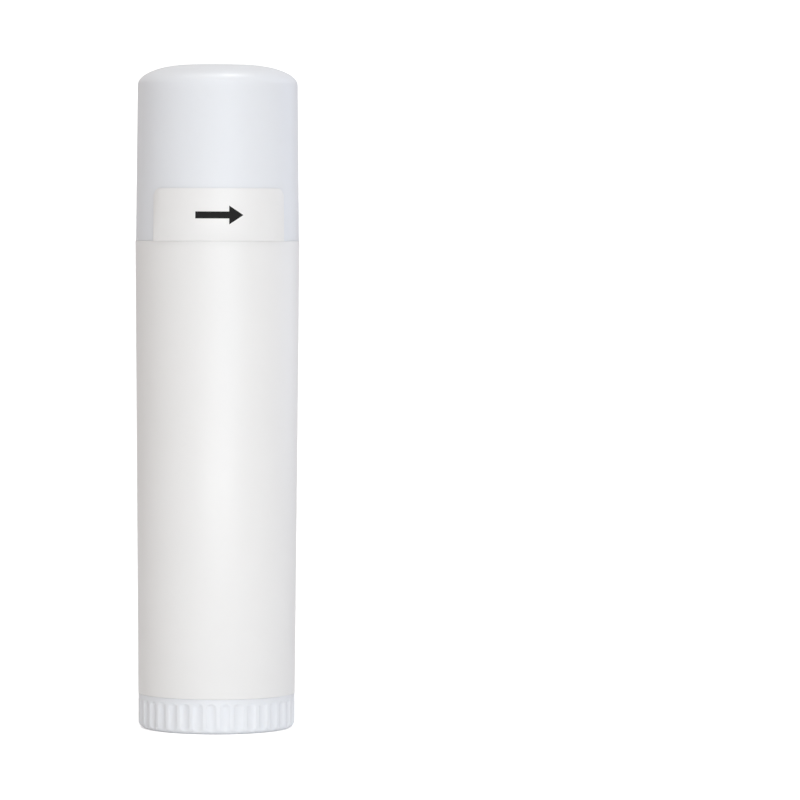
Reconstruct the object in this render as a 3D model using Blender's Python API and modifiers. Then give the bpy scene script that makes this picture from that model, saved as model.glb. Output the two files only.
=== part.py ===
"""Twist-up sunscreen stick in a capped round tube, standing on its turning knob.

Metres, +Z up, front of the stick towards -Y. The origin is the middle of the knob's underside.
Seven pieces: cap, tube, twist_base, elevator, balm, wrap_label and seal_tab.
"""
import math

import bmesh
import bpy
from mathutils import Matrix

# Facets round a full turn, and the merge distance of every modifier that merges
ROUND_STEPS = 48
SPINDLE_STEPS = 16
MERGE = 0.000005
OVERRUN = 0.0005
FRONT = -math.pi / 2
BACK = math.pi / 2

# Knob at the foot, with a ring of scooped flutes
KNOB_HEIGHT = 0.0034
KNOB_OVERHANG = 0.00012
KNOB_EDGE_RADIUS = 0.0007
KNOB_RIM_HEIGHT = 0.0003
KNOB_RIM_ROUND = 0.00012
FLUTE_COUNT = 36
FLUTE_PITCH = 2 * math.pi / FLUTE_COUNT
FLUTE_STEPS = 16
FLUTE_DEPTH = 0.00024
FLUTE_RADIUS = 0.00103
FLUTE_TOP_ROUND = 0.0003
FOOT_WIDTH = 0.0012
FOOT_RECESS = 0.0005
WEB_THICKNESS = 0.0011
TURN_GAP = 0.00006

# Collar that snaps through the floor of the tube
HUB_RADIUS = 0.005
HUB_WALL = 0.0009
HUB_CLEARANCE = 0.00015
SNAP_HEIGHT = 0.0004
SNAP_LENGTH = 0.0009

# Threaded spindle, left-handed, one start
CORE_RADIUS = 0.0019
THREAD_HEIGHT = 0.00055
THREAD_LEAD = 0.0035
THREAD_CLEARANCE = 0.0002
SPINDLE_TIP_DEPTH = 0.0068
SPINDLE_TIP_CHAMFER = 0.0004

# Tube
BARREL_LENGTH = 0.0447
BARREL_DRAFT = 0.00035
BORE_RADIUS = 0.0069
FLOOR_THICKNESS = 0.0012
SHOULDER_ROUND = 0.0001
NECK_LENGTH = 0.0087
NECK_WALL = 0.00045
RIM_ROUND = 0.00012
BEAD_DROP = 0.007
BEAD_HEIGHT = 0.00017
BEAD_WIDTH = 0.0007
KEY_WIDTH = 0.0009
KEY_HEIGHT = 0.0004
KEY_TOP_DROP = 0.001
KEY_CLEARANCE = 0.00015

# Cap
SEAT_GAP = 0.00006
BEAD_CLEARANCE = 0.00006
CAP_LIP_WALL = 0.00047
CAP_LIP_DEPTH = 0.0022
CAP_BORE_CLEARANCE = 0.0001
CAP_OVERHANG = 0.00009
CAP_DRAFT = 0.00016
CAP_HEADROOM = 0.00745
CAP_CROWN = 0.0012
CAP_CORNER_REACH = 0.0052
CAP_CORNER_DROP = 0.002
CAP_INNER_CORNER_RADIUS = 0.0016
MOUTH_ROUND = 0.0001

# Elevator: a cup with a nut
ELEVATOR_FLOAT = 0.0003
ELEVATOR_CLEARANCE = 0.00012
ELEVATOR_FLOOR = 0.001
CUP_DEPTH = 0.004
CUP_WALL = 0.0006
NUT_WALL = 0.0008
NUT_RISE = 0.005

# Balm
BALM_CLEARANCE = 0.0001
BALM_SEAT_GAP = 0.0001
BALM_TOP_DROP = 0.0002
BALM_EDGE_ROUND = 0.0003
BALM_TIP_ROOM = 0.0006

# Label and seal tab, both of one label stock
LABEL_THICKNESS = 0.0001
LABEL_GAP = 0.00004
LABEL_TOP_MARGIN = 0.00005
LABEL_BASE_MARGIN = 0.0001
LABEL_LAP = 0.0012
LABEL_RAMP = 0.0008
LABEL_BUTT_GAP = 0.0001
SLIT_WIDTH = 0.0001
TEAR_GAP = 0.00004
TAB_HEIGHT = 0.0051
TAB_HALF_WIDTH = 0.00726
TAB_CORNER_RADIUS = 0.0009
# Where the tab's tongues reach down to the label, as shares of the tab's half width
TONGUE_SPAN_SHARES = ((-1.0, -0.866), (-0.09, 0.0), (0.759, 1.0))

# Heights worked out from the sizes above
TUBE_BASE = KNOB_HEIGHT + TURN_GAP
FLOOR_TOP = TUBE_BASE + FLOOR_THICKNESS
SHOULDER = TUBE_BASE + BARREL_LENGTH
RIM = SHOULDER + NECK_LENGTH
MOUTH = SHOULDER + SEAT_GAP
CEILING = RIM + CAP_HEADROOM
CAP_TOP = CEILING + CAP_CROWN
SNAP_BASE = FLOOR_TOP + HUB_CLEARANCE
HUB_TOP = SNAP_BASE + SNAP_LENGTH
SPINDLE_TIP = RIM - SPINDLE_TIP_DEPTH
ELEVATOR_BASE = HUB_TOP + ELEVATOR_FLOAT
CUP_FLOOR = ELEVATOR_BASE + ELEVATOR_FLOOR
CUP_TOP = CUP_FLOOR + CUP_DEPTH
NUT_TOP = CUP_FLOOR + NUT_RISE
BALM_TOP = RIM - BALM_TOP_DROP
LABEL_TOP = SHOULDER - LABEL_TOP_MARGIN
LABEL_BASE = TUBE_BASE + LABEL_BASE_MARGIN
TAB_BASE = LABEL_TOP + SLIT_WIDTH
TAB_TOP = TAB_BASE + TAB_HEIGHT

# Radii worked out from the sizes above
NECK_RADIUS = BORE_RADIUS + NECK_WALL
BEAD_RADIUS = NECK_RADIUS + BEAD_HEIGHT
LIP_BORE_RADIUS = BEAD_RADIUS + BEAD_CLEARANCE
CAP_MOUTH_RADIUS = LIP_BORE_RADIUS + CAP_LIP_WALL
CAP_TOP_RADIUS = CAP_MOUTH_RADIUS - CAP_DRAFT
CAP_BORE_RADIUS = NECK_RADIUS + CAP_BORE_CLEARANCE
BARREL_TOP_RADIUS = CAP_MOUTH_RADIUS - CAP_OVERHANG
BARREL_BASE_RADIUS = BARREL_TOP_RADIUS - BARREL_DRAFT
KNOB_RADIUS = BARREL_BASE_RADIUS + KNOB_OVERHANG
HUB_HOLE_RADIUS = HUB_RADIUS + HUB_CLEARANCE
THREAD_RADIUS = CORE_RADIUS + THREAD_HEIGHT
NUT_BORE_RADIUS = CORE_RADIUS + THREAD_CLEARANCE
NUT_RADIUS = THREAD_RADIUS + THREAD_CLEARANCE + NUT_WALL
ELEVATOR_RADIUS = BORE_RADIUS - ELEVATOR_CLEARANCE
CUP_BORE_RADIUS = ELEVATOR_RADIUS - CUP_WALL
BALM_RADIUS = BORE_RADIUS - BALM_CLEARANCE
BALM_FOOT_RADIUS = CUP_BORE_RADIUS - BALM_SEAT_GAP
BALM_NUT_BORE_RADIUS = NUT_RADIUS + BALM_SEAT_GAP
BALM_BORE_RADIUS = THREAD_RADIUS + THREAD_CLEARANCE


def clear_scene():
    for obj in list(bpy.data.objects):
        bpy.data.objects.remove(obj, do_unlink=True)


def new_collection(name):
    collection = bpy.data.collections.new(name)
    bpy.context.scene.collection.children.link(collection)
    return collection


def new_material(name, colour, roughness, metallic=0.0):
    material = bpy.data.materials.new(name)
    material.use_nodes = True
    shader = material.node_tree.nodes["Principled BSDF"]
    shader.inputs["Base Color"].default_value = (*colour, 1.0)
    shader.inputs["Roughness"].default_value = roughness
    shader.inputs["Metallic"].default_value = metallic
    return material


def add_object(name, mesh, collection, material=None):
    obj = bpy.data.objects.new(name, mesh)
    collection.objects.link(obj)
    if material:
        mesh.materials.append(material)
    return obj


def make_guide(obj):
    obj.hide_render = True
    obj.display_type = "WIRE"
    return obj


def corner(across, height, radius, start_deg, end_deg, steps=3, upright_radius=None):
    """Points of a round or oval corner in a profile, about the centre (across, height)."""
    upright_radius = upright_radius or radius
    points = []
    for step in range(steps + 1):
        angle = math.radians(start_deg + (end_deg - start_deg) * step / steps)
        points.append((across + radius * math.cos(angle), height + upright_radius * math.sin(angle)))
    return points


def turned(name, profile, closed, collection, material=None, steps=ROUND_STEPS):
    """Turn a profile of (radius, height) points round Z; it runs down its outer side."""
    mesh = bpy.data.meshes.new(name)
    edges = [(i, i + 1) for i in range(len(profile) - 1)]
    if closed:
        edges.append((len(profile) - 1, 0))
    mesh.from_pydata([(radius, 0, height) for radius, height in profile], edges, [])
    obj = add_object(name, mesh, collection, material)
    screw = obj.modifiers.new("Turn", "SCREW")
    screw.steps = steps
    screw.render_steps = steps
    screw.use_merge_vertices = True
    screw.merge_threshold = MERGE
    return obj


def evaluated_mesh(obj):
    depsgraph = bpy.context.evaluated_depsgraph_get()
    return bpy.data.meshes.new_from_object(obj.evaluated_get(depsgraph))


def combine(obj, other, operation):
    boolean = obj.modifiers.new(operation.title() + " " + other.name, "BOOLEAN")
    boolean.operation = operation
    boolean.solver = "EXACT"
    boolean.object = other
    return boolean


def thread_coil(name, radius, wire_radius, low, high, collection):
    """Left-handed coil of round wire, as a closed mesh: the thread's ridge or the cut for it."""
    first = math.ceil(low / THREAD_LEAD * SPINDLE_STEPS)
    last = math.floor(high / THREAD_LEAD * SPINDLE_STEPS)
    curve = bpy.data.curves.new(name, "CURVE")
    curve.dimensions = "3D"
    curve.bevel_depth = wire_radius
    curve.bevel_resolution = 1
    curve.use_fill_caps = True
    spline = curve.splines.new("POLY")
    spline.points.add(last - first)
    for step, point in enumerate(spline.points, start=first):
        turns = (step + 0.5) / SPINDLE_STEPS
        angle = -2 * math.pi * turns
        height = THREAD_LEAD * turns
        point.co = (radius * math.cos(angle), radius * math.sin(angle), height, 1)
    wire = bpy.data.objects.new(name + "_curve", curve)
    collection.objects.link(wire)
    bpy.context.view_layer.update()
    mesh = evaluated_mesh(wire)
    bpy.data.objects.remove(wire, do_unlink=True)
    welded = bmesh.new()
    welded.from_mesh(mesh)
    bmesh.ops.remove_doubles(welded, verts=welded.verts, dist=MERGE)
    bmesh.ops.recalc_face_normals(welded, faces=welded.faces)
    welded.to_mesh(mesh)
    welded.free()
    return make_guide(add_object(name, mesh, collection))


def box_between(name, low, high, collection):
    """Box with the opposite corners low and high."""
    mesh = bpy.data.meshes.new(name)
    box = bmesh.new()
    bmesh.ops.create_cube(box, size=1)
    size = [b - a for a, b in zip(low, high)]
    middle = [(a + b) / 2 for a, b in zip(low, high)]
    bmesh.ops.scale(box, vec=size, verts=box.verts)
    bmesh.ops.translate(box, vec=middle, verts=box.verts)
    box.to_mesh(mesh)
    box.free()
    return make_guide(add_object(name, mesh, collection))


def wrapped_sheet(name, outline, radius_at, collection, material):
    """Sheet with an outline of (angle, height) points, bent round Z and given its thickness."""
    sheet = bmesh.new()
    sheet.faces.new([sheet.verts.new((angle, 0, height)) for angle, height in outline])
    facet = 2 * math.pi / ROUND_STEPS
    first = math.ceil(min(angle for angle, _ in outline) / facet)
    last = math.floor(max(angle for angle, _ in outline) / facet)
    for i in range(first, last + 1):
        bmesh.ops.bisect_plane(sheet, geom=sheet.verts[:] + sheet.edges[:] + sheet.faces[:],
                               plane_co=(i * facet, 0, 0), plane_no=(1, 0, 0), dist=MERGE)
    for vert in sheet.verts:
        angle, _, height = vert.co
        radius = radius_at(angle, height)
        vert.co = (radius * math.cos(angle), radius * math.sin(angle), height)
    mesh = bpy.data.meshes.new(name)
    sheet.to_mesh(mesh)
    sheet.free()
    obj = add_object(name, mesh, collection, material)
    solidify = obj.modifiers.new("Thickness", "SOLIDIFY")
    solidify.thickness = LABEL_THICKNESS
    solidify.offset = 1
    return obj


def shade_round(obj):
    obj.data.shade_smooth()
    obj.data.set_sharp_from_angle(angle=math.radians(30))


def between(low, high, share):
    return low + (high - low) * share


def barrel_radius_at(height):
    return between(BARREL_BASE_RADIUS, BARREL_TOP_RADIUS, (height - TUBE_BASE) / BARREL_LENGTH)


def cap_radius_at(height):
    side_length = CAP_TOP - CAP_CORNER_DROP - MOUTH
    return between(CAP_MOUTH_RADIUS, CAP_TOP_RADIUS, (height - MOUTH) / side_length)


def key_box(name, side, inner_radius, clearance, low, high, collection):
    """A key rib's block on one side of the bore, grown by a clearance when it cuts its notch."""
    outer_radius = BORE_RADIUS + NECK_WALL / 2
    half_width = KEY_WIDTH / 2 + clearance
    across = sorted((side * inner_radius, side * outer_radius))
    return box_between(name, (across[0], -half_width, low), (across[1], half_width, high), collection)


def build_cap(parts, material):
    corner_centre = CAP_TOP_RADIUS - CAP_CORNER_REACH
    inner_centre = CAP_BORE_RADIUS - CAP_INNER_CORNER_RADIUS
    outside = [(0, CAP_TOP)]
    outside += corner(corner_centre, CAP_TOP - CAP_CORNER_DROP, CAP_CORNER_REACH, 90, 0, 8, CAP_CORNER_DROP)
    outside += corner(CAP_MOUTH_RADIUS - MOUTH_ROUND, MOUTH + MOUTH_ROUND, MOUTH_ROUND, 0, -90, 2)
    lip_top = MOUTH + CAP_LIP_DEPTH
    lip_step = LIP_BORE_RADIUS - CAP_BORE_RADIUS
    inside = [(LIP_BORE_RADIUS, MOUTH), (LIP_BORE_RADIUS, lip_top), (CAP_BORE_RADIUS, lip_top + lip_step)]
    inside += corner(inner_centre, CEILING - CAP_INNER_CORNER_RADIUS, CAP_INNER_CORNER_RADIUS, 0, 90, 4)
    inside.append((0, CEILING))
    cap = turned("cap", outside + inside, False, parts, material)
    shade_round(cap)


def build_tube(parts, cutters, material):
    bead = RIM - BEAD_DROP
    profile = corner(NECK_RADIUS - RIM_ROUND, RIM - RIM_ROUND, RIM_ROUND, 90, 0, 2)
    profile += [(NECK_RADIUS, bead + BEAD_WIDTH / 2), (BEAD_RADIUS, bead + BEAD_WIDTH / 6),
                (BEAD_RADIUS, bead - BEAD_WIDTH / 6), (NECK_RADIUS, bead - BEAD_WIDTH / 2),
                (NECK_RADIUS, SHOULDER)]
    shoulder_corner = (BARREL_TOP_RADIUS - SHOULDER_ROUND, SHOULDER - SHOULDER_ROUND)
    profile += corner(*shoulder_corner, SHOULDER_ROUND, 90, 0, 2)
    profile += [(BARREL_BASE_RADIUS, TUBE_BASE), (HUB_HOLE_RADIUS, TUBE_BASE), (HUB_HOLE_RADIUS, FLOOR_TOP),
                (BORE_RADIUS, FLOOR_TOP), (BORE_RADIUS, RIM)]
    tube = turned("tube", profile, True, parts, material)
    for side, word in ((1, "right"), (-1, "left")):
        key = key_box("key_" + word, side, BORE_RADIUS - KEY_HEIGHT, 0, FLOOR_TOP - FLOOR_THICKNESS / 2,
                      RIM - KEY_TOP_DROP, cutters)
        combine(tube, key, "UNION")
    shade_round(tube)


def flute_cutters(cutters):
    """Two rings of rods with rounded top edges, so that no rod in a ring meets its neighbour."""
    top = KNOB_HEIGHT - KNOB_RIM_HEIGHT
    rod_profile = [(0, top)] + corner(FLUTE_RADIUS - FLUTE_TOP_ROUND, top - FLUTE_TOP_ROUND,
                                      FLUTE_TOP_ROUND, 90, 0, 3)
    rod_profile += [(FLUTE_RADIUS, -OVERRUN), (0, -OVERRUN)]
    rod = turned("flute_rod", rod_profile, False, cutters, steps=FLUTE_STEPS)
    bpy.context.view_layer.update()
    rod_mesh = evaluated_mesh(rod)
    bpy.data.objects.remove(rod, do_unlink=True)
    axis_radius = KNOB_RADIUS - FLUTE_DEPTH + FLUTE_RADIUS
    rings = []
    for parity, word in ((0, "even"), (1, "odd")):
        ring = bmesh.new()
        for index in range(parity, FLUTE_COUNT, 2):
            copy = rod_mesh.copy()
            turn = Matrix.Rotation(FLUTE_PITCH * (index + 0.5), 4, "Z")
            copy.transform(turn @ Matrix.Translation((axis_radius, 0, 0)))
            ring.from_mesh(copy)
            bpy.data.meshes.remove(copy)
        mesh = bpy.data.meshes.new("flutes_" + word)
        ring.to_mesh(mesh)
        ring.free()
        rings.append(make_guide(add_object("flutes_" + word, mesh, cutters)))
    return rings


def build_twist_base(parts, cutters, material):
    foot_inner = KNOB_RADIUS - KNOB_EDGE_RADIUS - FOOT_WIDTH
    snap_radius = HUB_RADIUS + SNAP_HEIGHT
    pocket_floor = FOOT_RECESS + WEB_THICKNESS
    profile = [(0, pocket_floor), (HUB_RADIUS - HUB_WALL, pocket_floor), (HUB_RADIUS - HUB_WALL, HUB_TOP),
               (HUB_RADIUS, HUB_TOP), (snap_radius, between(SNAP_BASE, HUB_TOP, 0.4)),
               (snap_radius, SNAP_BASE), (HUB_RADIUS, SNAP_BASE), (HUB_RADIUS, KNOB_HEIGHT)]
    profile += corner(KNOB_RADIUS - KNOB_RIM_ROUND, KNOB_HEIGHT - KNOB_RIM_ROUND, KNOB_RIM_ROUND, 90, 0, 2)
    profile += corner(KNOB_RADIUS - KNOB_EDGE_RADIUS, KNOB_EDGE_RADIUS, KNOB_EDGE_RADIUS, 0, -90, 4)
    profile += [(foot_inner, 0), (foot_inner, FOOT_RECESS), (0, FOOT_RECESS)]
    base = turned("twist_base", profile, False, parts, material, steps=2 * FLUTE_COUNT)
    base.rotation_euler.z = FLUTE_PITCH / 4  # flutes and ridges then fall mid-facet
    for ring in flute_cutters(cutters):
        combine(base, ring, "DIFFERENCE")
    core_profile = [(0, SPINDLE_TIP), (CORE_RADIUS - SPINDLE_TIP_CHAMFER, SPINDLE_TIP),
                    (CORE_RADIUS, SPINDLE_TIP - SPINDLE_TIP_CHAMFER),
                    (CORE_RADIUS, between(FOOT_RECESS, pocket_floor, 0.5)),
                    (0, between(FOOT_RECESS, pocket_floor, 0.5))]
    core = make_guide(turned("spindle_core", core_profile, False, cutters, steps=SPINDLE_STEPS))
    ridge = thread_coil("spindle_thread", CORE_RADIUS, THREAD_HEIGHT, HUB_TOP + THREAD_HEIGHT,
                        SPINDLE_TIP - SPINDLE_TIP_CHAMFER - THREAD_HEIGHT, cutters)
    combine(core, ridge, "UNION")
    combine(base, core, "UNION")
    shade_round(base)


def build_elevator(parts, cutters, material):
    profile = [(ELEVATOR_RADIUS, CUP_TOP), (ELEVATOR_RADIUS, ELEVATOR_BASE),
               (NUT_BORE_RADIUS, ELEVATOR_BASE), (NUT_BORE_RADIUS, NUT_TOP), (NUT_RADIUS, NUT_TOP),
               (NUT_RADIUS, CUP_FLOOR), (CUP_BORE_RADIUS, CUP_FLOOR), (CUP_BORE_RADIUS, CUP_TOP)]
    elevator = turned("elevator", profile, True, parts, material)
    groove = thread_coil("nut_thread", CORE_RADIUS, THREAD_HEIGHT + THREAD_CLEARANCE,
                         ELEVATOR_BASE - THREAD_LEAD, NUT_TOP + THREAD_LEAD, cutters)
    combine(elevator, groove, "DIFFERENCE")
    cut_key_notches(elevator, ELEVATOR_BASE - OVERRUN, CUP_TOP + OVERRUN, cutters)
    shade_round(elevator)


def cut_key_notches(obj, low, high, cutters):
    for side, word in ((1, "right"), (-1, "left")):
        notch = key_box(obj.name + "_notch_" + word, side, BORE_RADIUS - KEY_HEIGHT - KEY_CLEARANCE,
                        KEY_CLEARANCE, low, high, cutters)
        combine(obj, notch, "DIFFERENCE")


def build_balm(parts, cutters, material):
    foot = CUP_FLOOR + BALM_SEAT_GAP
    ledge = CUP_TOP + BALM_SEAT_GAP
    over_nut = NUT_TOP + BALM_SEAT_GAP
    bore_end = SPINDLE_TIP + BALM_TIP_ROOM
    profile = [(0, BALM_TOP)]
    profile += corner(BALM_RADIUS - BALM_EDGE_ROUND, BALM_TOP - BALM_EDGE_ROUND, BALM_EDGE_ROUND, 90, 0, 3)
    profile += [(BALM_RADIUS, ledge), (BALM_FOOT_RADIUS, ledge), (BALM_FOOT_RADIUS, foot),
                (BALM_NUT_BORE_RADIUS, foot), (BALM_NUT_BORE_RADIUS, over_nut),
                (BALM_BORE_RADIUS, over_nut), (BALM_BORE_RADIUS, bore_end), (0, bore_end)]
    balm = turned("balm", profile, False, parts, material)
    cut_key_notches(balm, foot - OVERRUN, BALM_TOP + OVERRUN, cutters)
    shade_round(balm)


def build_wrap_label(parts, material):
    """The label starts at the back, goes once round, climbs a ramp and laps over its own start."""
    girth_radius = BARREL_TOP_RADIUS + LABEL_GAP
    layer = LABEL_THICKNESS + LABEL_GAP
    start = BACK + LABEL_BUTT_GAP / girth_radius
    lap_start = BACK + 2 * math.pi
    end = lap_start + LABEL_LAP / girth_radius
    ramp_start = lap_start - LABEL_RAMP / girth_radius

    def radius_at(angle, height):
        climb = min(max((angle - ramp_start) / (lap_start - ramp_start), 0), 1)
        return barrel_radius_at(height) + LABEL_GAP + layer * climb

    outline = [(start, LABEL_BASE), (ramp_start, LABEL_BASE), (lap_start, LABEL_BASE), (end, LABEL_BASE),
               (end, LABEL_TOP), (lap_start, LABEL_TOP), (ramp_start, LABEL_TOP), (start, LABEL_TOP)]
    label = wrapped_sheet("wrap_label", outline, radius_at, parts, material)
    shade_round(label)


def build_seal_tab(parts, material):
    """The tab on the cap's front, with round upper corners and tongues that reach the label."""
    bend_radius = CAP_MOUTH_RADIUS + LABEL_GAP
    half_angle = TAB_HALF_WIDTH / bend_radius
    tongue_base = LABEL_TOP + TEAR_GAP
    outline = []
    for start_share, end_share in TONGUE_SPAN_SHARES:
        span = [(start_share, TAB_BASE), (start_share, tongue_base),
                (end_share, tongue_base), (end_share, TAB_BASE)]
        outline += [(FRONT + half_angle * share, height) for share, height in span
                    if abs(share) < 1 or height == tongue_base]
    across = TAB_HALF_WIDTH - TAB_CORNER_RADIUS
    for side, start_deg, end_deg in ((1, 0, 90), (-1, 90, 180)):
        arc = corner(side * across, TAB_TOP - TAB_CORNER_RADIUS, TAB_CORNER_RADIUS, start_deg, end_deg, 5)
        outline += [(FRONT + width / bend_radius, height) for width, height in arc]

    def radius_at(angle, height):
        return cap_radius_at(max(height, MOUTH)) + LABEL_GAP

    tab = wrapped_sheet("seal_tab", outline, radius_at, parts, material)
    shade_round(tab)


def main():
    clear_scene()
    parts = new_collection("sunscreen_stick")
    cutters = new_collection("cutters")
    white_plastic = new_material("white_polypropylene", (0.80, 0.81, 0.83), 0.38)
    natural_plastic = new_material("natural_polypropylene", (0.78, 0.78, 0.76), 0.45)
    label_stock = new_material("white_label_stock", (0.84, 0.83, 0.81), 0.5)
    balm_wax = new_material("balm_wax", (0.78, 0.60, 0.36), 0.42)
    build_cap(parts, white_plastic)
    build_tube(parts, cutters, white_plastic)
    build_twist_base(parts, cutters, white_plastic)
    build_elevator(parts, cutters, natural_plastic)
    build_balm(parts, cutters, balm_wax)
    build_wrap_label(parts, label_stock)
    build_seal_tab(parts, label_stock)


main()
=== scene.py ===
import math

import bmesh
import bpy
from mathutils import Matrix, Vector


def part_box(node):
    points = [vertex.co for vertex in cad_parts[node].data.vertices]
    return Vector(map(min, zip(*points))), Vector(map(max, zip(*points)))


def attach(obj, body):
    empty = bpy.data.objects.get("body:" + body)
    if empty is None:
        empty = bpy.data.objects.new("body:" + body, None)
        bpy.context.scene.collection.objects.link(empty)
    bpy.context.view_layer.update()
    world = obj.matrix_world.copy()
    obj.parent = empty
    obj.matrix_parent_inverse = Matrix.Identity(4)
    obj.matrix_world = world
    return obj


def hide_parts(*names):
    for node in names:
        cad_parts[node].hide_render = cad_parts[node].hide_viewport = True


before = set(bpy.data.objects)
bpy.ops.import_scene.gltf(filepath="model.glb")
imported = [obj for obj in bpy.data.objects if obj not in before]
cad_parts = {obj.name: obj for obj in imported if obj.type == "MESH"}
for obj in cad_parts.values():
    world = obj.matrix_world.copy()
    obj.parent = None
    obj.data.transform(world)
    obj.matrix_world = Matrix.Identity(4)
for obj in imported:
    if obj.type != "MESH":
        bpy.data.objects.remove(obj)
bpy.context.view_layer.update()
mm = 0.001
mergeDistance = 0.001 * mm
print("frame loaded:", sorted(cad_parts))


# Heights and radii that every piece shares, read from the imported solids
capLow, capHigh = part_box("cap")
tubeLow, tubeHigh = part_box("tube")
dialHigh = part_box("twist_base")[1]
tabLow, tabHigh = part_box("seal_tab")
balmLow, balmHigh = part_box("balm")
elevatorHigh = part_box("elevator")[1]
frontAngle = -math.pi / 2


# Small tools
def linearColour(hexText):
    channels = [int(hexText[i:i + 2], 16) / 255 for i in (1, 3, 5)]
    return (*[c / 12.92 if c <= 0.04045 else ((c + 0.055) / 1.055) ** 2.4 for c in channels], 1.0)


def addNode(tree, kind, values=None, links=None, **settings):
    node = tree.nodes.new(kind)
    for name, value in settings.items():
        setattr(node, name, value)
    for socket, value in (values or {}).items():
        node.inputs[socket].default_value = value
    for socket, source in (links or {}).items():
        tree.links.new(source, node.inputs[socket])
    return node


# Noise on the piece's own coordinates, with grains of about the given size
def noise(tree, place, size, detail):
    node = addNode(tree, "ShaderNodeTexNoise", {"Scale": 1 / size, "Detail": detail}, {"Vector": place})
    return node.outputs["Fac"]


# Spread a value between two others
def spread(tree, value, low, high, start=0.0, end=1.0):
    limits = {"From Min": start, "From Max": end, "To Min": low, "To Max": high}
    return addNode(tree, "ShaderNodeMapRange", limits, {"Value": value}).outputs["Result"]


# Blend two colours, each a colour or another node's output
def blend(tree, share, first, second):
    values, links = {}, {0: share}
    for socket, colour in ((6, first), (7, second)):
        (values if isinstance(colour, tuple) else links)[socket] = colour
    return addNode(tree, "ShaderNodeMix", values, links, data_type="RGBA").outputs[2]


# Bump of a given depth from a height pattern, over another bump where one is given
def bumped(tree, height, depth, under=None):
    links = {"Height": height, "Normal": under} if under else {"Height": height}
    return addNode(tree, "ShaderNodeBump", {"Strength": 1.0, "Distance": depth}, links).outputs["Normal"]


def newMaterial(name):
    material = bpy.data.materials.new(name)
    material.use_nodes = True
    tree = material.node_tree
    return material, tree, tree.nodes["Principled BSDF"]


# Round each (radius, height, fillet) corner of an open path
def filletPath(points, segments=6):
    path = []
    for i, (x, z, fillet) in enumerate(points):
        here = Vector((x, z))
        if not fillet or i in (0, len(points) - 1):
            path.append(here)
            continue
        before = (Vector(points[i - 1][:2]) - here).normalized()
        after = (Vector(points[i + 1][:2]) - here).normalized()
        halfAngle = before.angle(after) / 2
        reach = fillet / math.tan(halfAngle)
        centre = here + (before + after).normalized() * (fillet / math.sin(halfAngle))
        start, end = here + before * reach - centre, here + after * reach - centre
        for step in range(segments + 1):
            path.append(centre + start.slerp(end, step / segments) * fillet)
    return [(p.x, p.y) for p in path]


# Spin a (radius, height) path round Z, in one go or as equal sectors, and close its poles
def spunPiece(path, steps, sectors=1):
    bm = bmesh.new()
    verts = [bm.verts.new((radius, 0, height)) for radius, height in path]
    edges = [bm.edges.new(pair) for pair in zip(verts, verts[1:])]
    sectorAngle = 2 * math.pi / sectors
    bmesh.ops.spin(bm, geom=verts + edges, cent=(0, 0, 0), axis=(0, 0, 1),
                   angle=sectorAngle, steps=steps // sectors, use_merge=sectors == 1)
    if sectors > 1:  # one sector is spun and laid round, which is quicker on fine meshes
        sector = bpy.data.meshes.new("sector")
        bm.to_mesh(sector)
        bm.clear()
        for _ in range(sectors):
            bm.from_mesh(sector)
            sector.transform(Matrix.Rotation(sectorAngle, 4, "Z"))
        bpy.data.meshes.remove(sector)
    bmesh.ops.remove_doubles(bm, verts=bm.verts, dist=mergeDistance)
    bmesh.ops.recalc_face_normals(bm, faces=bm.faces)
    return bm


def finishPiece(bm, name, material, body, replaced=(), sharpAngle=35):
    mesh = bpy.data.meshes.new(name)
    bm.to_mesh(mesh)
    bm.free()
    piece = bpy.data.objects.new(name, mesh)
    bpy.context.scene.collection.objects.link(piece)
    mesh.materials.append(material)
    mesh.shade_smooth()
    mesh.set_sharp_from_angle(angle=math.radians(sharpAngle))
    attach(piece, body)
    if replaced:
        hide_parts(*replaced)
    print("made", name, "with", len(mesh.polygons), "faces")
    return piece


# White polypropylene, injection moulded: soft gloss, a little light bleeding through thin walls
plastic = {
    "colour": "#EFF2F5",
    "carrierColour": "#E4E3DD",  # unpigmented, so a little duller and warmer
    "ior": 1.49,
    "roughness": (0.40, 0.48),
    "mottleSize": 2.2 * mm,
    "peelSize": 0.55 * mm,
    "peelDepth": 0.0012 * mm,
    "glow": 0.2,
    "glowRadius": 1.2 * mm,
    "glowReach": (1.0, 0.95, 0.9),  # how far red, green and blue sink in, as shares of the radius
    "specular": 0.25,
    "skin": 0.25,
    "skinRoughness": 0.26,
}


def mouldedPlastic(name, colour, values):
    material, tree, shader = newMaterial(name)
    place = addNode(tree, "ShaderNodeTexCoord").outputs["Object"]
    mottle = noise(tree, place, values["mottleSize"], detail=3.0)
    rough = spread(tree, mottle, *values["roughness"])
    peel = noise(tree, place, values["peelSize"], detail=2.0)
    normal = bumped(tree, peel, values["peelDepth"])
    shader.inputs["Base Color"].default_value = linearColour(colour)
    shader.inputs["IOR"].default_value = values["ior"]
    shader.inputs["Specular IOR Level"].default_value = values["specular"]
    shader.inputs["Subsurface Weight"].default_value = values["glow"]
    shader.inputs["Subsurface Radius"].default_value = values["glowReach"]
    shader.inputs["Subsurface Scale"].default_value = values["glowRadius"]
    shader.inputs["Coat Weight"].default_value = values["skin"]  # the polished skin: small glints
    shader.inputs["Coat Roughness"].default_value = values["skinRoughness"]
    tree.links.new(rough, shader.inputs["Roughness"])
    tree.links.new(normal, shader.inputs["Normal"])
    return material


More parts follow.
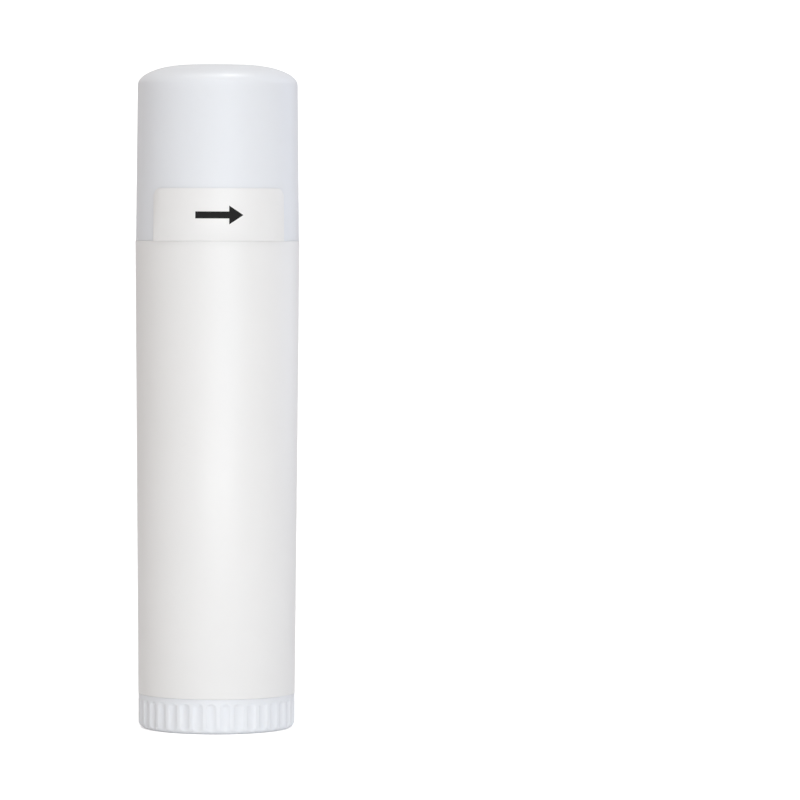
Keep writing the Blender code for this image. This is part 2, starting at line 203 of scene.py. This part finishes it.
# Coated paper label stock, die cut: satin white with a faint fibre and slow waves where it is stuck down
labelStock = {
    "colour": "#F5F5F3",
    "cloudColour": "#F1F1EF",
    "inkColour": "#030303",
    "cloudSize": 9 * mm,
    "fibreSize": 0.16 * mm,  # finer in life, drawn coarse enough to show
    "fibreDepth": 0.0022 * mm,
    "waveSize": 7 * mm,
    "waveDepth": 0.012 * mm,
    "roughness": 0.42,
    "inkRoughness": 0.9,
    "specular": 0.6,
}


def labelPaper(name, values, arrow=None):
    material, tree, shader = newMaterial(name)
    place = addNode(tree, "ShaderNodeTexCoord").outputs["Object"]
    cloud = noise(tree, place, values["cloudSize"], detail=2.0)
    colour = blend(tree, cloud, linearColour(values["colour"]), linearColour(values["cloudColour"]))
    wave = bumped(tree, noise(tree, place, values["waveSize"], detail=1.0), values["waveDepth"])
    fibre = bumped(tree, noise(tree, place, values["fibreSize"], detail=4.0), values["fibreDepth"], wave)
    shader.inputs["Roughness"].default_value = values["roughness"]
    if arrow:
        inked = arrowMask(tree, arrow)
        colour = blend(tree, inked, colour, linearColour(values["inkColour"]))
        rough = spread(tree, inked, values["roughness"], values["inkRoughness"])
        tree.links.new(rough, shader.inputs["Roughness"])
    shader.inputs["Specular IOR Level"].default_value = values["specular"]
    tree.links.new(colour, shader.inputs["Base Color"])
    tree.links.new(fibre, shader.inputs["Normal"])
    return material


# One where the sheet's own UV, in millimetres from the tab's middle, is inside a plain arrow
def arrowMask(tree, arrow):
    uv = addNode(tree, "ShaderNodeUVMap", uv_map="sheet").outputs["UV"]
    split = addNode(tree, "ShaderNodeSeparateXYZ", links={"Vector": uv})
    across, up = split.outputs["X"], split.outputs["Y"]

    def maths(operation, first, second):
        values = {i: v for i, v in enumerate((first, second)) if isinstance(v, float)}
        links = {i: v for i, v in enumerate((first, second)) if not isinstance(v, float)}
        return addNode(tree, "ShaderNodeMath", values, links, operation=operation).outputs[0]

    offset = maths("ABSOLUTE", maths("SUBTRACT", up, arrow["height"]), 0.0)
    inShaft = maths("MULTIPLY", maths("LESS_THAN", offset, arrow["shaftHalf"]),
                    maths("MULTIPLY", maths("GREATER_THAN", across, -arrow["halfLength"]),
                          maths("LESS_THAN", across, arrow["neck"])))
    slope = arrow["headHalf"] / (arrow["halfLength"] - arrow["neck"])
    edge = maths("MULTIPLY", maths("SUBTRACT", arrow["halfLength"], across), slope)
    ahead = maths("GREATER_THAN", across, arrow["neck"])
    inHead = maths("MULTIPLY", maths("LESS_THAN", offset, edge), ahead)
    return maths("MAXIMUM", inShaft, inHead)


# Sunscreen balm, poured wax: sand coloured, satin, lets light sink in, faint mottling, and small air pits
# darkened with painted shade
balmWax = {
    "colour": "#F1D5A9",
    "darkColour": "#E4C08A",
    # painted shade: the darker colour laid inside the air pits
    "pitShadeColour": "#B98A4E",
    "ior": 1.44,
    "mottleSize": 1.6 * mm,
    "mottleRange": (0.35, 0.75),  # noise below it is the pale wax, above it the dark
    "grainSize": 0.22 * mm,
    "grainDepth": 0.006 * mm,
    "glow": 0.35,
    "glowRadius": 1.6 * mm,
    "glowReach": (1.0, 0.62, 0.32),
    "roughness": (0.36, 0.5),
}


def castWax(name, values):
    material, tree, shader = newMaterial(name)
    place = addNode(tree, "ShaderNodeTexCoord").outputs["Object"]
    mottle = noise(tree, place, values["mottleSize"], detail=5.0)
    share = spread(tree, mottle, 0.0, 1.0, *values["mottleRange"])
    tone = blend(tree, share, linearColour(values["colour"]), linearColour(values["darkColour"]))
    # the pit attribute is a painted-shade mask that darkens the wax inside each air pit
    pit = addNode(tree, "ShaderNodeAttribute", attribute_name="pit").outputs["Fac"]
    colour = blend(tree, pit, tone, linearColour(values["pitShadeColour"]))
    rough = spread(tree, mottle, *values["roughness"])
    normal = bumped(tree, noise(tree, place, values["grainSize"], detail=3.0), values["grainDepth"])
    shader.inputs["IOR"].default_value = values["ior"]
    shader.inputs["Subsurface Weight"].default_value = values["glow"]
    shader.inputs["Subsurface Radius"].default_value = values["glowReach"]
    shader.inputs["Subsurface Scale"].default_value = values["glowRadius"]
    tree.links.new(colour, shader.inputs["Base Color"])
    tree.links.new(rough, shader.inputs["Roughness"])
    tree.links.new(normal, shader.inputs["Normal"])
    return material


# Cap
cap = {
    "steps": 192,
    "cornerReach": 5.2 * mm,
    "cornerDrop": 2.0 * mm,
    "cornerSteps": 24,
    "draft": 0.16 * mm,
    "seatGap": 0.004 * mm,
    "mouthRound": 0.015 * mm,
    "lipWall": 0.47 * mm,
    "lipDepth": 2.2 * mm,
    "lipStep": 0.13 * mm,
    "crown": 1.2 * mm,
    "innerCorner": 1.6 * mm,
    "gateRadius": 0.9 * mm,
    "gateFloorShare": 0.9,
    "gateDepth": 0.06 * mm,
    "roundSteps": 14,
}


def makeCap(material):
    mouthRadius = capHigh.x
    topRadius = mouthRadius - cap["draft"]
    lipBore = mouthRadius - cap["lipWall"]
    bore = lipBore - cap["lipStep"]
    mouth, top = tubeHigh.z - tube["neckLength"] + cap["seatGap"], capHigh.z
    lipTop = mouth + cap["lipDepth"]
    ceiling = top - cap["crown"]
    gate = cap["gateRadius"]
    reach, drop = cap["cornerReach"], cap["cornerDrop"]
    quarter = [math.pi / 2 * step / cap["cornerSteps"] for step in range(cap["cornerSteps"] + 1)]
    points = [
        (0, top - cap["gateDepth"], 0),
        (gate * cap["gateFloorShare"], top - cap["gateDepth"], cap["gateDepth"] / 2),
        (gate, top, cap["gateDepth"] / 2),
    ]
    middle = topRadius - reach
    points += [(middle + reach * math.sin(a), top - drop + drop * math.cos(a), 0) for a in quarter]
    points += [
        (mouthRadius, mouth, cap["mouthRound"]),
        (lipBore, mouth, cap["mouthRound"] / 2),
        (lipBore, lipTop, 0),
        (bore, lipTop + cap["lipStep"], 0),
        (bore, ceiling, cap["innerCorner"]),
        (0, ceiling, 0),
    ]
    bm = spunPiece(filletPath(points, cap["roundSteps"]), cap["steps"])
    return finishPiece(bm, "capShell", material, "cap", ["cap"])


# Tube
tube = {
    "steps": 192,
    "neckWall": 0.45 * mm,
    "boreRadius": 6.9 * mm,
    "rimRound": 0.14 * mm,
    "beadDrop": 7.0 * mm,
    "beadHeight": 0.17 * mm,
    "beadWidth": 0.7 * mm,
    "neckLength": 8.7 * mm,
    "shoulderRound": 0.05 * mm,
    "baseDraft": 0.35 * mm,
    "floorThickness": 1.2 * mm,
    "holeRadius": 5.15 * mm,
    "keyHalfAngle": math.radians(3.8),
    "keyHeight": 0.4 * mm,
    "keyTopDrop": 1.0 * mm,
    "keyTopSlack": 0.01 * mm,
}


def makeTube(material):
    rim, base = tubeHigh.z, tubeLow.z
    bore = tube["boreRadius"]
    neck = bore + tube["neckWall"]
    shoulder = rim - tube["neckLength"]
    bead = rim - tube["beadDrop"]
    beadRadius = neck + tube["beadHeight"]
    halfWidth = tube["beadWidth"] / 2
    barrel = tubeHigh.x
    floorTop = base + tube["floorThickness"]
    keyTop = rim - tube["keyTopDrop"]
    points = [
        (bore + tube["neckWall"] / 2, rim, 0),
        (neck, rim, tube["rimRound"]),
        (neck, bead + halfWidth, halfWidth / 3),
        (beadRadius, bead, halfWidth / 3),
        (neck, bead - halfWidth, halfWidth / 3),
        (neck, shoulder, tube["shoulderRound"]),
        (barrel, shoulder, tube["shoulderRound"]),
        (barrel - tube["baseDraft"], base, tube["shoulderRound"]),
        (tube["holeRadius"], base, tube["shoulderRound"]),
        (tube["holeRadius"], floorTop, tube["shoulderRound"]),
        (bore, floorTop, tube["shoulderRound"]),
        (bore, keyTop, 0),
        (bore, keyTop + tube["keyHeight"], 0),
        (bore, rim, tube["rimRound"]),
        (bore + tube["neckWall"] / 2, rim, 0),
    ]
    bm = spunPiece(filletPath(points, 6), tube["steps"])
    keyReach = keyTop + tube["keyTopSlack"]
    for vert in bm.verts:  # push the bore in where a key rib stands
        angle = math.atan2(vert.co.y, abs(vert.co.x))
        onBore = abs(vert.co.to_2d().length - bore) < tube["keyHeight"] / 8
        if onBore and abs(angle) < tube["keyHalfAngle"] and floorTop < vert.co.z < keyReach:
            vert.co.x -= math.copysign(tube["keyHeight"], vert.co.x)
    return finishPiece(bm, "tubeBarrel", material, "barrel", ["tube"])


# Turning knob, its snap collar and the threaded spindle
knob = {
    "fluteCount": 36,
    "columnsPerFlute": 16,
    "fluteDepth": 0.15 * mm,
    "fluteRadius": 1.03 * mm,
    "fluteTopRound": 0.45 * mm,
    "rimHeight": 0.35 * mm,
    "rimRound": 0.05 * mm,
    "rowGap": 0.05 * mm,
    "turnGap": 0.004 * mm,
    "edgeRadius": 0.7 * mm,
    "footWidth": 1.2 * mm,
    "footRecess": 0.5 * mm,
    "recessRound": 0.15 * mm,
    "webThickness": 1.1 * mm,
    "hubRadius": 5.0 * mm,
    "hubWall": 0.9 * mm,
    "hubClearance": 0.15 * mm,
    "snapHeight": 0.4 * mm,
    "snapLength": 0.9 * mm,
    "gateRadius": 0.8 * mm,
    "gateTopShare": 0.85,
    "gateDepth": 0.08 * mm,
    "roundSteps": 14,
    "sharpAngle": 30,
}

spindle = {
    "steps": 48,
    "coreRadius": 1.9 * mm,
    "threadHeight": 0.55 * mm,
    "lead": 3.5 * mm,
    "rowsPerTurn": 28,
    "tipRound": 0.4 * mm,
    "threadTaper": 1.2 * mm,
}


# The radius left after a rod with a rounded end has scooped each flute
def knobRadiusAtFlute(radius, angle, height, knobTop, knobRadius):
    rod, topRound = knob["fluteRadius"], knob["fluteTopRound"]
    into = height - (knobTop - knob["rimHeight"] - topRound)
    if into >= topRound:
        return radius
    if into > 0:
        rod = rod - topRound + math.sqrt(topRound ** 2 - into ** 2)
    axis = knobRadius - knob["fluteDepth"] + knob["fluteRadius"]
    pitch = 2 * math.pi / knob["fluteCount"]
    offAngle = (angle - frontAngle) % pitch - pitch / 2  # ridges stand at the front's middle
    inside = rod ** 2 - (axis * math.sin(offAngle)) ** 2
    if inside <= 0:
        return radius
    return min(radius, axis * math.cos(offAngle) - math.sqrt(inside))


def makeKnob(material):
    knobTop = tubeLow.z - knob["turnGap"]
    radius = dialHigh.x / math.cos(math.pi / 2 / knob["fluteCount"])  # CAD facets lie a quarter flute off X
    snapBase = tubeLow.z + tube["floorThickness"] + knob["hubClearance"]
    hubTop = snapBase + knob["snapLength"]
    foot = radius - knob["edgeRadius"]
    footInner = foot - knob["footWidth"]
    recess = knob["footRecess"]
    hub, hubInner = knob["hubRadius"], knob["hubRadius"] - knob["hubWall"]
    snap = hub + knob["snapHeight"]
    pocket = recess + knob["webThickness"]
    gate = knob["gateRadius"]
    small = knob["rimRound"]
    upper = [
        (0, pocket, 0),
        (hubInner, pocket, small),
        (hubInner, hubTop, small),
        (hub, hubTop, small),
        (snap, (snapBase + hubTop) / 2, small),
        (snap, snapBase, small),
        (hub, snapBase, small / 2),
        (hub, knobTop, small / 2),
        (radius, knobTop, knob["rimRound"]),
        (radius, knob["edgeRadius"], 0),
    ]
    side = filletPath(upper, 3)
    sideStart, sideEnd = side[-2][1], side[-1][1]
    rows = math.ceil((sideStart - sideEnd) / knob["rowGap"])
    ladder = [(radius, sideStart + (sideEnd - sideStart) * row / rows) for row in range(1, rows + 1)]
    lower = [
        (radius, knob["edgeRadius"] + small, 0),
        (radius, 0, knob["edgeRadius"]),
        (footInner, 0, small),
        (footInner, recess, knob["recessRound"]),
        (gate, recess, small / 2),
        (gate * knob["gateTopShare"], recess + knob["gateDepth"], small / 2),
        (0, recess + knob["gateDepth"], 0),
    ]
    path = side[:-1] + ladder + filletPath(lower, knob["roundSteps"])[2:]
    bm = spunPiece(path, knob["fluteCount"] * knob["columnsPerFlute"], knob["fluteCount"])
    bmesh.ops.rotate(bm, cent=(0, 0, 0), matrix=Matrix.Rotation(frontAngle, 3, "Z"), verts=bm.verts)
    for vert in bm.verts:
        flat = vert.co.to_2d()
        if flat.length < foot or vert.co.z > knobTop:
            continue
        angle = math.atan2(flat.y, flat.x)
        scooped = knobRadiusAtFlute(flat.length, angle, vert.co.z, knobTop, radius)
        vert.co.x, vert.co.y = scooped * math.cos(angle), scooped * math.sin(angle)
    return finishPiece(bm, "turningKnob", material, "dial", ["twist_base"],
                       knob["sharpAngle"])


# A spun core whose rows are pushed out where the left-handed thread passes
def makeSpindle(material):
    core, ridge, lead = spindle["coreRadius"], spindle["threadHeight"], spindle["lead"]
    foot = knob["footRecess"] + knob["webThickness"] / 2
    tip = dialHigh.z
    threadLow = tubeLow.z + tube["floorThickness"] + knob["hubClearance"] + knob["snapLength"] + ridge
    threadHigh = tip - spindle["tipRound"] - ridge
    rows = math.ceil((tip - foot) / lead * spindle["rowsPerTurn"])
    corner = (core, tip, spindle["tipRound"])
    top = filletPath([(0, tip, 0), corner, (core, foot, 0)], 5)[:-1]
    start = top[-1][1]
    ladder = [(core, start + (foot - start) * row / rows) for row in range(1, rows + 1)]
    bm = spunPiece(top + ladder + [(0, foot)], spindle["steps"])
    for vert in bm.verts:
        flat = vert.co.to_2d()
        if flat.length < core * 0.99:  # the tip's face stays as it is
            continue
        turns = -math.atan2(flat.y, flat.x) / (2 * math.pi)
        nearest = (round(vert.co.z / lead - turns) + turns) * lead
        fade = min(1, max(0, (vert.co.z - threadLow) / spindle["threadTaper"]),
                   max(0, (threadHigh - vert.co.z) / spindle["threadTaper"]))
        rise = math.sqrt(max(0, ridge ** 2 - (vert.co.z - nearest) ** 2)) * fade
        vert.co.x *= (core + rise) / core
        vert.co.y *= (core + rise) / core
    return finishPiece(bm, "threadedSpindle", material, "dial")


# Balm
balm = {
    "steps": 240,
    "edgeRound": 0.24 * mm,
    "topRings": 7,
    "footRadius": 5.98 * mm,
    "nutBore": 3.55 * mm,
    "spindleBore": 2.65 * mm,
    "sideRow": 0.16 * mm,
    "fineDepth": 2.2 * mm,
    "seatGap": 0.1 * mm,
    "nutOverCup": 1.0 * mm,
    "tipRoom": 0.6 * mm,
    "notchHalfAngle": math.radians(5.1),
    "notchReach": 0.45 * mm,  # how far in from the side the notch takes hold of the mesh
    "notchDepth": 0.35 * mm,
    "skinShare": 0.97,  # beyond this share of the radius a vertex is on the side
}

# Small air pits near the balm's top, each dented in and darkened with painted shade: degrees round from the
# front, depth below the top, half sizes and dent
airPits = [
    {"turn": -19.4, "drop": 0.95 * mm, "halfWidth": 0.36 * mm, "halfHeight": 0.5 * mm, "dent": 0.16 * mm},
    {"turn": -3.3, "drop": 1.15 * mm, "halfWidth": 0.14 * mm, "halfHeight": 0.14 * mm, "dent": 0.1 * mm},
    {"turn": -9.5, "drop": 1.75 * mm, "halfWidth": 0.1 * mm, "halfHeight": 0.1 * mm, "dent": 0.06 * mm},
]


def makeBalm(material):
    top, radius = balmHigh.z, balmHigh.y
    foot = balmLow.z
    overNut = elevatorHigh.z + balm["seatGap"]
    ledge = overNut - balm["nutOverCup"]
    boreEnd = dialHigh.z + balm["tipRoom"]
    ringStep = (radius - balm["edgeRound"]) / balm["topRings"]
    crown = [(ringStep * i, top) for i in range(balm["topRings"])]
    corner = [(ringStep, top, 0), (radius, top, balm["edgeRound"]), (radius, ledge, 0)]
    edge = filletPath(corner, 7)[1:-1]
    rows = math.ceil(balm["fineDepth"] / balm["sideRow"])
    side = [(radius, edge[-1][1] - balm["fineDepth"] * row / rows) for row in range(1, rows + 1)]
    lower = [(radius, ledge), (balm["footRadius"], ledge), (balm["footRadius"], foot)]
    lower += [(balm["nutBore"], foot), (balm["nutBore"], overNut)]
    lower += [(balm["spindleBore"], overNut), (balm["spindleBore"], boreEnd), (0, boreEnd)]
    bm = spunPiece(crown + edge + side + lower, balm["steps"])
    # per-vertex painted-shade mask for the air pits
    pitShadeLayer = bm.verts.layers.float.new("pit")
    for vert in bm.verts:
        flat = vert.co.to_2d()
        angle = math.atan2(flat.y, flat.x)
        if flat.length > radius * balm["skinShare"] and vert.co.z > ledge:
            carvePits(vert, pitShadeLayer, angle, flat.length, top)
        inNotch = min(abs(angle), math.pi - abs(angle)) < balm["notchHalfAngle"]
        if inNotch and radius - balm["notchReach"] < flat.length and vert.co.z >= ledge:
            vert.co.x = math.copysign(radius - balm["notchDepth"], vert.co.x)
    return finishPiece(bm, "balmStick", material, "carrier", ["balm"])


def carvePits(vert, pitShadeLayer, angle, distance, top):
    for pit in airPits:
        across = (angle - frontAngle - math.radians(pit["turn"])) * distance / pit["halfWidth"]
        along = (vert.co.z - top + pit["drop"]) / pit["halfHeight"]
        far = across ** 2 + along ** 2
        if far < 1:
            depth = pit["dent"] * (1 - far)
            vert.co.x *= 1 - depth / distance
            vert.co.y *= 1 - depth / distance
            # how far into the pit the vertex lies, kept as painted shade for the wax colour
            vert[pitShadeLayer] = 1 - far


# Label and seal tab, cut from one sheet of label stock
sheet = {
    "thickness": 0.1 * mm,
    "cutRound": 0.008 * mm,
    "cutSnap": 0.0001 * mm,
    "gap": 0.04 * mm,
    "facetAngle": math.radians(1.5),
    "lap": 1.2 * mm,
    "ramp": 0.8 * mm,
    "buttGap": 0.1 * mm,
    "topMargin": 0.004 * mm,
    "baseMargin": 0.004 * mm,
    "slitWidth": 0.014 * mm,
    "tearGap": 0.002 * mm,
    "cornerRadius": 0.9 * mm,
    "cornerSteps": 10,
    "tabHalfWidth": 7.26 * mm,
    "tongueSpans": ((-1.0, -0.866), (-0.09, 0.0), (0.759, 1.0)),  # shares of the tab's half width
}

# A plain printed arrow, millimetres in the tab's own sheet
tabArrow = {"height": 2.55, "halfLength": 2.35, "neck": 0.95, "shaftHalf": 0.34, "headHalf": 0.92}


# A sheet of stock, still flat: x is the length round from the front, y the way out, z up
def flatSheet(corners, girth):
    bm = bmesh.new()
    face = bm.faces.new([bm.verts.new((angle * girth, 0, height)) for angle, height in corners])
    if face.normal.y > 0:
        face.normal_flip()
    return bm


# Give the sheet its thickness and soft cut edges, keep its flat place as UV and bend it round Z
def bendSheet(bm, girth, radiusAt, creases=()):
    thick = bmesh.ops.extrude_face_region(bm, geom=bm.faces[:], use_keep_orig=True)
    outer = [part for part in thick["geom"] if isinstance(part, bmesh.types.BMVert)]
    bmesh.ops.translate(bm, vec=(0, sheet["thickness"], 0), verts=outer)
    rim = [edge for edge in bm.edges if all(vert in outer for vert in edge.verts)]
    bmesh.ops.bevel(bm, geom=rim, offset=sheet["cutRound"], segments=2, profile=0.5, affect="EDGES",
                    material=-1)
    lengths = [vert.co.x for vert in bm.verts]
    facet = sheet["facetAngle"] * girth
    first, last = math.ceil(min(lengths) / facet), math.floor(max(lengths) / facet)
    for place in [step * facet for step in range(first, last + 1)] + list(creases):
        bmesh.ops.bisect_plane(bm, geom=bm.verts[:] + bm.edges[:] + bm.faces[:], dist=sheet["cutSnap"],
                               plane_co=(place, 0, 0), plane_no=(1, 0, 0))
    bmesh.ops.recalc_face_normals(bm, faces=bm.faces)
    uvLayer = bm.loops.layers.uv.new("sheet")
    for face in bm.faces:
        for loop in face.loops:
            loop[uvLayer].uv = (loop.vert.co.x / mm, (loop.vert.co.z - tabLow.z) / mm)
    for vert in bm.verts:
        angle = vert.co.x / girth + frontAngle
        radius = radiusAt(angle, vert.co.z) + vert.co.y
        vert.co = (radius * math.cos(angle), radius * math.sin(angle), vert.co.z)


def makeLabel(material):
    shoulder = tubeHigh.z - tube["neckLength"]
    barrelTop, barrelBase = tubeHigh.x, tubeHigh.x - tube["baseDraft"]
    layer = sheet["thickness"] + sheet["gap"]
    girth = barrelTop + sheet["gap"]
    start = -math.pi + sheet["buttGap"] / girth
    end = math.pi + sheet["lap"] / girth
    rampStart = math.pi - sheet["ramp"] / girth

    def radiusAt(angle, height):
        share = (height - tubeLow.z) / (shoulder - tubeLow.z)
        climb = min(max((angle - frontAngle - rampStart) / (math.pi - rampStart), 0), 1)
        return barrelBase + (barrelTop - barrelBase) * share + sheet["gap"] + layer * climb

    base, top = tubeLow.z + sheet["baseMargin"], shoulder - sheet["topMargin"]
    corners = [(start, base), (end, base), (end, top), (start, top)]
    bm = flatSheet(corners, girth)
    bendSheet(bm, girth, radiusAt, creases=(rampStart * girth, math.pi * girth))
    return finishPiece(bm, "wrapLabel", material, "barrel", ["wrap_label"])


def makeSealTab(material):
    girth = capHigh.x + sheet["gap"]
    halfAngle = sheet["tabHalfWidth"] / girth
    labelTop = tubeHigh.z - tube["neckLength"] - sheet["topMargin"]
    tabBase, tongueBase = labelTop + sheet["slitWidth"], labelTop + sheet["tearGap"]
    sideHeight = capHigh.z - cap["cornerDrop"] - capLow.z
    outline = []
    for low, high in sheet["tongueSpans"]:
        outline += [(low, tabBase), (low, tongueBase), (high, tongueBase), (high, tabBase)]
    outline = outline[1:-1] + [(1.0, tabHigh.z), (-1.0, tabHigh.z)]
    bm = flatSheet([(halfAngle * share, height) for share, height in outline], girth)
    bm.verts.ensure_lookup_table()
    bmesh.ops.bevel(bm, geom=bm.verts[-2:], offset=sheet["cornerRadius"], segments=sheet["cornerSteps"],
                    profile=0.5, affect="VERTICES", material=-1)

    def radiusAt(angle, height):
        share = max(height - capLow.z, 0) / sideHeight
        return capHigh.x - cap["draft"] * share + sheet["gap"]

    bendSheet(bm, girth, radiusAt)
    return finishPiece(bm, "sealTab", material, "cap", ["seal_tab"])


# Studio: a pale sweep, soft keys from the front, a low fill, a cool strip on the right and a soft top light
studio = {
    "sweepColour": "#F2F2F2",
    "sweepSeen": 0.6,
    "sweepGlow": 0.28,
    "worldLevel": 0.209,
    "worldTint": (1.2, 1.0, 0.93),
    "sweepHalfWidth": 1.5,
    "sweepFront": -1.2,
    "sweepBack": 0.9,
    "sweepHeight": 1.4,
    "sweepBend": 0.35,
    "bendSteps": 24,
}

# Each lamp looks at the stick: degrees round from the front and up, metres away, size, watts, tint
lamps = [
    {"name": "keyRight", "turn": 14, "rise": 16, "distance": 1.6, "size": (0.9, 0.7), "power": 3.65,
     "tint": (0.87, 1.0, 1.12)},
    {"name": "keyHigh", "turn": 4, "rise": 36, "distance": 1.6, "size": (0.9, 0.7), "power": 4.88,
     "tint": (0.97, 1.0, 1.03)},
    {"name": "lowFill", "turn": 0, "rise": -4, "distance": 0.4, "size": (0.3, 0.01), "power": 0.357,
     "tint": (1.0, 1.0, 1.0)},
    {"name": "rightStrip", "turn": 118, "rise": 8, "distance": 0.8, "size": (0.4, 0.9), "power": 1.2,
     "tint": (0.87, 1.0, 1.29)},
    {"name": "overhead", "turn": 0, "rise": 88, "distance": 1.2, "size": (1.0, 1.0), "power": 5.8,
     "tint": (0.96, 1.0, 1.0)},
    {"name": "topSpark", "turn": 129, "rise": 79, "distance": 0.6, "size": (0.045, 0.045), "power": 0.8,
     "tint": (1.0, 1.0, 1.0)},
]


def makeSweep():
    path = filletPath([(studio["sweepFront"], 0, 0), (studio["sweepBack"], 0, studio["sweepBend"]),
                       (studio["sweepBack"], studio["sweepHeight"], 0)], studio["bendSteps"])
    bm = bmesh.new()
    verts = [bm.verts.new((-studio["sweepHalfWidth"], y, z)) for y, z in path]
    edges = [bm.edges.new(pair) for pair in zip(verts, verts[1:])]
    sides = bmesh.ops.extrude_edge_only(bm, edges=edges)["geom"]
    moved = [part for part in sides if isinstance(part, bmesh.types.BMVert)]
    bmesh.ops.translate(bm, vec=(2 * studio["sweepHalfWidth"], 0, 0), verts=moved)
    mesh = bpy.data.meshes.new("paperSweep")
    bm.to_mesh(mesh)
    bm.free()
    sweep = bpy.data.objects.new("paperSweep", mesh)
    bpy.context.scene.collection.objects.link(sweep)
    mesh.materials.append(sweepPaper())
    mesh.shade_smooth()
    print("made paperSweep")


# The sweep's own light: white to the camera, paler in what glossy and clear surfaces show of it
def groundGlow(tree):
    rays = addNode(tree, "ShaderNodeLightPath").outputs
    pair = {0: rays["Is Glossy Ray"], 1: rays["Is Transmission Ray"]}
    mirrored = addNode(tree, "ShaderNodeMath", links=pair, operation="MAXIMUM").outputs[0]
    levels = {0: spread(tree, rays["Is Camera Ray"], 0.0, studio["sweepSeen"]),
              1: spread(tree, mirrored, 0.0, studio["sweepGlow"])}
    return addNode(tree, "ShaderNodeMath", links=levels, operation="MAXIMUM").outputs[0]


# Matt seamless background paper: no shine, an even pale ground
def sweepPaper():
    material, tree, shader = newMaterial("mattSweepPaper")
    tree.nodes.remove(shader)
    matt = addNode(tree, "ShaderNodeBsdfDiffuse", {"Color": linearColour(studio["sweepColour"])})
    glow = addNode(tree, "ShaderNodeEmission", links={"Strength": groundGlow(tree)})
    both = addNode(tree, "ShaderNodeAddShader", links={0: matt.outputs[0], 1: glow.outputs[0]})
    tree.links.new(both.outputs[0], tree.nodes["Material Output"].inputs["Surface"])
    return material


def makeWorld():
    world = bpy.data.worlds.new("softRoom")
    bpy.context.scene.world = world
    world.use_nodes = True
    tree = world.node_tree
    seen = addNode(tree, "ShaderNodeLightPath").outputs["Is Camera Ray"]
    level = spread(tree, seen, studio["worldLevel"], 1.0)
    tint = blend(tree, seen, (*studio["worldTint"], 1.0), (1.0, 1.0, 1.0, 1.0))
    tree.links.new(tint, tree.nodes["Background"].inputs["Color"])
    tree.links.new(level, tree.nodes["Background"].inputs["Strength"])


def makeLamps():
    aim = Vector((0, 0, capHigh.z / 2))
    for lamp in lamps:
        light = bpy.data.lights.new(lamp["name"], "AREA")
        light.shape = "RECTANGLE"
        light.size, light.size_y = lamp["size"]
        light.energy, light.color = lamp["power"], lamp["tint"]
        turn, rise = math.radians(lamp["turn"]), math.radians(lamp["rise"])
        away = Vector((math.sin(turn) * math.cos(rise), -math.cos(turn) * math.cos(rise), math.sin(rise)))
        holder = bpy.data.objects.new(lamp["name"], light)
        holder.visible_diffuse = lamp["name"] != "topSpark"  # the spark is only a glint on the cap's corner
        holder.location = aim + away * lamp["distance"]
        holder.rotation_euler = away.to_track_quat("Z", "Y").to_euler()
        bpy.context.scene.collection.objects.link(holder)
    print("lit with", len(lamps), "lamps")


# Camera: a long lens level with the cap's foot, placed so that the stick stands left of the middle
camera = {
    "distance": 0.4752,
    "eyeHeight": 50.0 * mm,
    "pictureSize": 800,
    "farPixels": 4805,  # the distance, counted in picture pixels at the stick
    "stickPixelX": 217.1,
    "horizonPixelY": 222.8,
    "azimuth": -1.2,
    "roll": 0.2,
    "sensor": 36.0,
    "clip": (0.01, 20),
}


def makeCamera():
    lens = bpy.data.cameras.new("camera")
    lens.sensor_width = camera["sensor"]
    lens.lens = camera["sensor"] * camera["farPixels"] / camera["pictureSize"]
    lens.clip_start, lens.clip_end = camera["clip"]
    viewer = bpy.data.objects.new("camera", lens)
    around = math.radians(camera["azimuth"])
    viewer.location = (camera["distance"] * math.sin(around), -camera["distance"] * math.cos(around),
                       camera["eyeHeight"])
    half = camera["pictureSize"] / 2
    yaw = math.atan((half - camera["stickPixelX"]) / camera["farPixels"])
    pitch = math.atan((camera["horizonPixelY"] - half) / camera["farPixels"])
    turn = Matrix.Rotation(around - yaw, 4, "Z") @ Matrix.Rotation(math.pi / 2 + pitch, 4, "X")
    turn = turn @ Matrix.Rotation(math.radians(camera["roll"]), 4, "Z")
    viewer.rotation_euler = turn.to_euler()
    bpy.context.scene.collection.objects.link(viewer)
    bpy.context.scene.camera = viewer
    print("camera set, lens", round(lens.lens, 1), "mm")


makeCamera()
whitePlastic = mouldedPlastic("mouldedWhitePolypropylene", plastic["colour"], plastic)
carrierPlastic = mouldedPlastic("mouldedNaturalPolypropylene", plastic["carrierColour"], plastic)
labelMaterial = labelPaper("dieCutLabelPaper", labelStock)
tabMaterial = labelPaper("printedLabelPaper", labelStock, tabArrow)
makeCap(whitePlastic)
makeTube(whitePlastic)
makeKnob(whitePlastic)
makeSpindle(whitePlastic)
makeBalm(castWax("castSunscreenWax", balmWax))
makeLabel(labelMaterial)
makeSealTab(tabMaterial)
for slotIndex in range(len(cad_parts["elevator"].material_slots)):
    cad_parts["elevator"].material_slots[slotIndex].material = carrierPlastic
makeSweep()
makeWorld()
makeLamps()
bpy.context.scene.view_settings.view_transform = "Standard"
